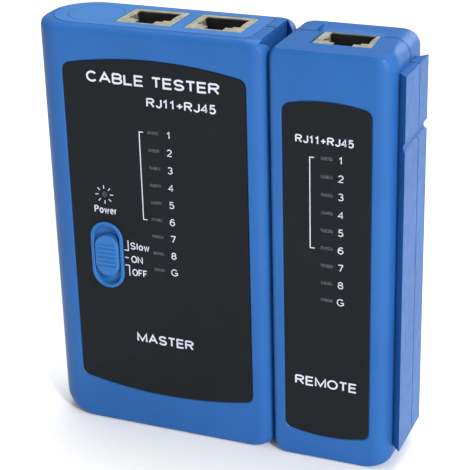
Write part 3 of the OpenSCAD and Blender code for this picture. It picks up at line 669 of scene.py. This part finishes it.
def join(name, parts, material):
    """One piece out of several."""
    bm = bmesh.new()
    for part in parts:
        bm.from_mesh(part.data)
    mesh = bpy.data.meshes.new(name)
    bm.to_mesh(mesh)
    bm.free()
    for part in parts:
        drop(part)
    piece = bpy.data.objects.new(name, mesh)
    bpy.context.scene.collection.objects.link(piece)
    dress(piece, material)
    return piece


def arc(cx, cy, rx, ry, first, last, steps=14):
    turns = [math.radians(first + (last - first) * i / steps) for i in range(steps + 1)]
    return [(cx + rx * math.cos(a), cy + ry * math.sin(a)) for a in turns]


# Plain block letters drawn as centre lines in a unit box, with each letter's width in cap heights
UPPER_BOWL = [(0, 1), (0.55, 1)] + arc(0.55, 0.76, 0.4, 0.24, 80, -80) + [(0.55, 0.52), (0, 0.52)]
LETTERS = {
    "A": (0.98, [(0, 0), (0.5, 1), (1, 0)], [(0.2, 0.34), (0.8, 0.34)]),
    "B": (0.84, [(0, 0), (0, 1)], UPPER_BOWL,
          [(0.5, 0.51), (0.56, 0.51)] + arc(0.56, 0.26, 0.44, 0.26, 80, -80) + [(0.55, 0), (0, 0)]),
    "C": (0.94, arc(0.5, 0.5, 0.5, 0.5, 42, 318, 26)),
    "E": (0.78, [(1, 1), (0, 1), (0, 0), (1, 0)], [(0, 0.52), (0.92, 0.52)]),
    "F": (0.74, [(1, 1), (0, 1), (0, 0)], [(0, 0.5), (0.85, 0.5)]),
    "G": (0.98, arc(0.5, 0.5, 0.5, 0.5, 42, 318, 26), [(0.97, 0.08), (0.97, 0.45), (0.55, 0.45)]),
    "J": (0.66, [(1, 1), (1, 0.32)] + arc(0.5, 0.3, 0.5, 0.3, 0, -170)),
    "L": (0.74, [(0, 1), (0, 0), (1, 0)]),
    "M": (1.06, [(0, 0), (0, 1), (0.5, 0.08), (1, 1), (1, 0)]),
    "N": (0.9, [(0, 0), (0, 1), (1, 0), (1, 1)]),
    "O": (1.0, arc(0.5, 0.5, 0.5, 0.5, 0, 360, 32)),
    "P": (0.8, [(0, 0), (0, 1)], UPPER_BOWL),
    "R": (0.9, [(0, 0), (0, 1)], UPPER_BOWL, [(0.5, 0.5), (0.95, 0)]),
    "S": (0.84, arc(0.5, 0.74, 0.47, 0.26, 20, 262) + arc(0.5, 0.25, 0.5, 0.25, 82, -160)),
    "T": (0.8, [(0, 1), (1, 1)], [(0.5, 1), (0.5, 0)]),
    "1": (0.62, [(0.1, 0.72), (0.62, 0.98), (0.62, 0)]),
    "2": (0.74, arc(0.5, 0.7, 0.46, 0.3, 165, -30) + [(0.05, 0.02), (1, 0)]),
    "3": (0.74, arc(0.48, 0.76, 0.42, 0.24, 155, -90), arc(0.48, 0.26, 0.5, 0.26, 90, -155)),
    "4": (0.76, [(0.76, 0), (0.76, 0.98), (0, 0.28), (1, 0.28)]),
    "5": (0.74, [(0.92, 1), (0.2, 1), (0.1, 0.5)] + arc(0.48, 0.32, 0.5, 0.32, 125, -150)),
    "6": (0.74, arc(0.5, 0.31, 0.5, 0.31, 0, 360, 24), arc(0.6, 0.4, 0.6, 0.6, 55, 190)),
    "7": (0.74, [(0, 1), (1, 1), (0.38, 0)]),
    "8": (0.74, arc(0.5, 0.76, 0.42, 0.24, 0, 360, 20), arc(0.5, 0.27, 0.5, 0.27, 0, 360, 22)),
    "+": (0.74, [(0.5, 0.12), (0.5, 0.76)], [(0, 0.44), (1, 0.44)]),
    "e": (0.68, [(0.03, 0.37), (0.97, 0.37)] + arc(0.5, 0.35, 0.5, 0.36, 5, 310, 22)),
    "l": (0.3, [(0.5, 1), (0.5, 0)]),
    "o": (0.7, arc(0.5, 0.35, 0.5, 0.36, 0, 360, 24)),
    "r": (0.46, [(0, 0), (0, 0.73)], arc(0.75, 0.3, 0.75, 0.4, 180, 85, 10)),
    "w": (0.92, [(0, 0.72), (0.26, 0), (0.5, 0.68), (0.74, 0), (1, 0.72)]),
    " ": (0.42,),
}
LETTER_GAP = 0.1


def stroke(points, weight, layer=0):
    """A raised line of even width along points, as (x, z), with mitred corners.

    Crossing strokes lie on layers of their own.
    """
    near, far = LABEL_FACE + PRINT_SINK, LABEL_FACE - PRINT_LIFT - LAYER * layer
    loop = math.dist(points[0], points[-1]) < 1e-6
    line = [Vector(p) for p in (points[:-1] if loop else points)]
    count = len(line)
    rings = []
    for i, here in enumerate(line):
        before = line[i - 1] if i or loop else None
        after = line[(i + 1) % count] if i < count - 1 or loop else None
        a = (here - before).normalized() if before is not None else (after - here).normalized()
        b = (after - here).normalized() if after is not None else a
        along = (a + b).normalized() if (a + b).length > 1e-3 else a
        side = Vector((-along.y, along.x))
        side *= weight / 2 / max(side.dot(Vector((-a.y, a.x))), 0.55)
        left, right = here + side, here - side
        corners = ((left, near), (left, far), (right, far), (right, near))
        rings.append([(p.x, y, p.y) for p, y in corners])
    return loft("stroke", rings, closed=loop)


def lettering(words, x0, base_z, cap, x1=None, weight=0.3):
    """Raised words on the label, from x0 to x1 or centred on x0, with capitals cap high."""
    natural = sum(LETTERS[c][0] + LETTER_GAP for c in words) - LETTER_GAP
    wide = (x1 - x0) / natural if x1 is not None else cap
    x = x0 if x1 is not None else x0 - natural * wide / 2
    parts = []
    for c in words:
        width = LETTERS[c][0] * wide
        for layer, points in enumerate(LETTERS[c][1:]):
            placed = [(x + weight / 2 + u * (width - weight), base_z + weight / 2 + v * (cap - weight))
                      for u, v in points]
            parts.append(stroke(placed, weight, layer))
        x += width + LETTER_GAP * wide
    return parts


def lamp_prints(top_z, line_x, tick_x, number_x):
    """The numbers beside a lamp column and the bracket that spans its first six lamps."""
    parts = []
    for i, mark in enumerate("12345678G"):
        base_z = top_z - i * LAMP_PITCH - NUMBER_CAP / 2 - 0.05
        parts += lettering(mark, number_x, base_z, NUMBER_CAP, weight=0.28)
    low = top_z - 5 * LAMP_PITCH - 0.3
    parts.append(stroke([(tick_x, top_z), (line_x, top_z), (line_x, low), (tick_x, low)], 0.27))
    return parts


# Words on each label: text, left end, foot, height of a capital, right end and line width
MASTER_WORDS = (("CABLE TESTER", -36.35, 104.95, 3.1, 2.7, 0.56),
                ("RJ11+RJ45", -18.75, 99.45, 2.6, 1.45, 0.44),
                ("MASTER", -25.35, 27.8, 2.95, -7.6, 0.52),
                ("Power", -36.45, 66.6, 2.2, -29.45, 0.34),
                ("Slow", -25.9, 56.7, 2.15, -20.05, 0.32),
                ("ON", -25.85, 52.6, 2.15, -22.3, 0.32),
                ("OFF", -25.75, 48.55, 2.15, -21.1, 0.32))
REMOTE_WORDS = (("RJ11+RJ45", 23.5, 94.45, 2.25, 39.45, 0.38),
                ("REMOTE", 22.8, 23.1, 2.9, 40.75, 0.5))

# Lines from the switch's three places to their words, as (x, z)
SWITCH_LINES = ([(-26.6, 59.3), (-26.6, 56.2), (-27.85, 56.2)],
                [(-27.85, 53.95), (-26.65, 53.95)],
                [(-27.85, 51.6), (-26.55, 51.6), (-26.55, 48.4)])

# Inner and outer end of the power lamp's rays
RAY_ENDS = (1.75, 2.75)


def make_prints(material):
    parts = lamp_prints(92.1, -21.35, -20.15, -12.62)
    for words in MASTER_WORDS:
        parts += lettering(*words)
    for i in range(8):
        a = math.radians(45 * i + 2)
        ray = [(POWER_AT[0] + r * math.cos(a), POWER_AT[1] + r * math.sin(a)) for r in RAY_ENDS]
        parts.append(stroke(ray, 0.24))
    parts += [stroke(line, 0.28) for line in SWITCH_LINES]
    finish(join("master_print", parts, material), "master", None)
    parts = lamp_prints(90.75, 27.45, 28.65, 35.95)
    for words in REMOTE_WORDS:
        parts += lettering(*words)
    finish(join("remote_print", parts, material), "remote", None)


# ---- Light and floor ----

FLOOR_HALF = 4.0
LIGHT_TARGET = Vector((0, 0, 0.07))
# Each light's name, place in metres, size in metres and power in watts
LIGHTS = (("key", (0.8, -0.68, 0.75), (0.22, 0.22), 10),
          ("top", (0.05, 0.25, 1.0), (0.9, 0.7), 9),
          ("right", (0.85, -0.8, 0.12), (0.4, 0.4), 7),
          ("rear", (0.25, 1.2, 0.3), (0.5, 0.5), 4))
WORLD_STRENGTH = 0.45


def area_light(name, place, size, power):
    data = bpy.data.lights.new(name, "AREA")
    data.shape = "RECTANGLE"
    data.size, data.size_y = size
    data.energy = power
    lamp = bpy.data.objects.new(name, data)
    bpy.context.scene.collection.objects.link(lamp)
    lamp.location = place
    lamp.rotation_mode = "QUATERNION"
    lamp.rotation_quaternion = (LIGHT_TARGET - Vector(place)).to_track_quat("-Z", "Y")


def make_stage():
    mesh = bpy.data.meshes.new("floor")
    corners = [(x * FLOOR_HALF, y * FLOOR_HALF, 0) for x, y in ((-1, -1), (1, -1), (1, 1), (-1, 1))]
    mesh.from_pydata(corners, [], [(0, 1, 2, 3)])
    floor = bpy.data.objects.new("floor", mesh)
    bpy.context.scene.collection.objects.link(floor)
    m = Maker("floor")
    m.drive("Base Color", m.ramp(m.noise(90, 2), srgb(244, 244, 244), srgb(248, 248, 248)))
    m.set(Roughness=0.9, Specular_IOR_Level=0.1)
    mesh.materials.append(m.material)
    world = bpy.data.worlds.new("world")
    world.use_nodes = True
    background = world.node_tree.nodes["Background"]
    background.inputs["Color"].default_value = (1, 1, 1, 1)
    background.inputs["Strength"].default_value = WORLD_STRENGTH
    bpy.context.scene.world = world
    for light in LIGHTS:
        area_light(*light)
    bpy.context.scene.view_settings.view_transform = "Standard"


make_camera()
materials = make_materials()
dress_cad(materials)
soften_edges(("port_1_shield", "port_2_shield", "remote_port_shield"), SHIELD_BEVEL)
soften_edges(("master_top_plate", "blanking_disc", "battery_door"), COVER_BEVEL)
for unit in (MASTER, REMOTE):
    make_shells(unit, materials["blue_case"])
make_bezel(materials["blue_trim"])
make_knob(materials["blue_trim"])
make_prints(materials["print"])
make_stage()
